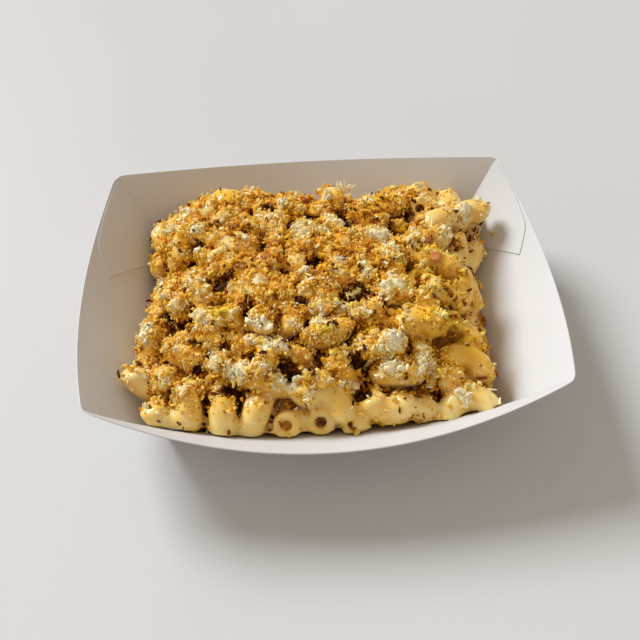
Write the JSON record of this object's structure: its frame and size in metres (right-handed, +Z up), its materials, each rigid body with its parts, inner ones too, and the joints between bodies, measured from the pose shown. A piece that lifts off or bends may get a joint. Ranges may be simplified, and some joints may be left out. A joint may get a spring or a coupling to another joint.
{
  "type": "macaroni cheese in a food tray",
  "caption": "Baked macaroni cheese under a toasted crumb topping, heaped in a folded white paperboard food tray with flared walls; stands on its flat base.",
  "frame": {"origin": "middle of the underside of the tray's base", "axes": "+X along the tray's longer side, +Y towards its back, +Z up"},
  "size_m": [0.1778, 0.149, 0.0438],
  "materials": {
    "paperboard": "smooth matte white board",
    "macaroni": "glossy cheese sauce under toasted crumbs"
  },
  "bodies": {
    "root": {"tray": "paperboard", "macaroni_heap": "macaroni"}
  },
  "joints": []
}
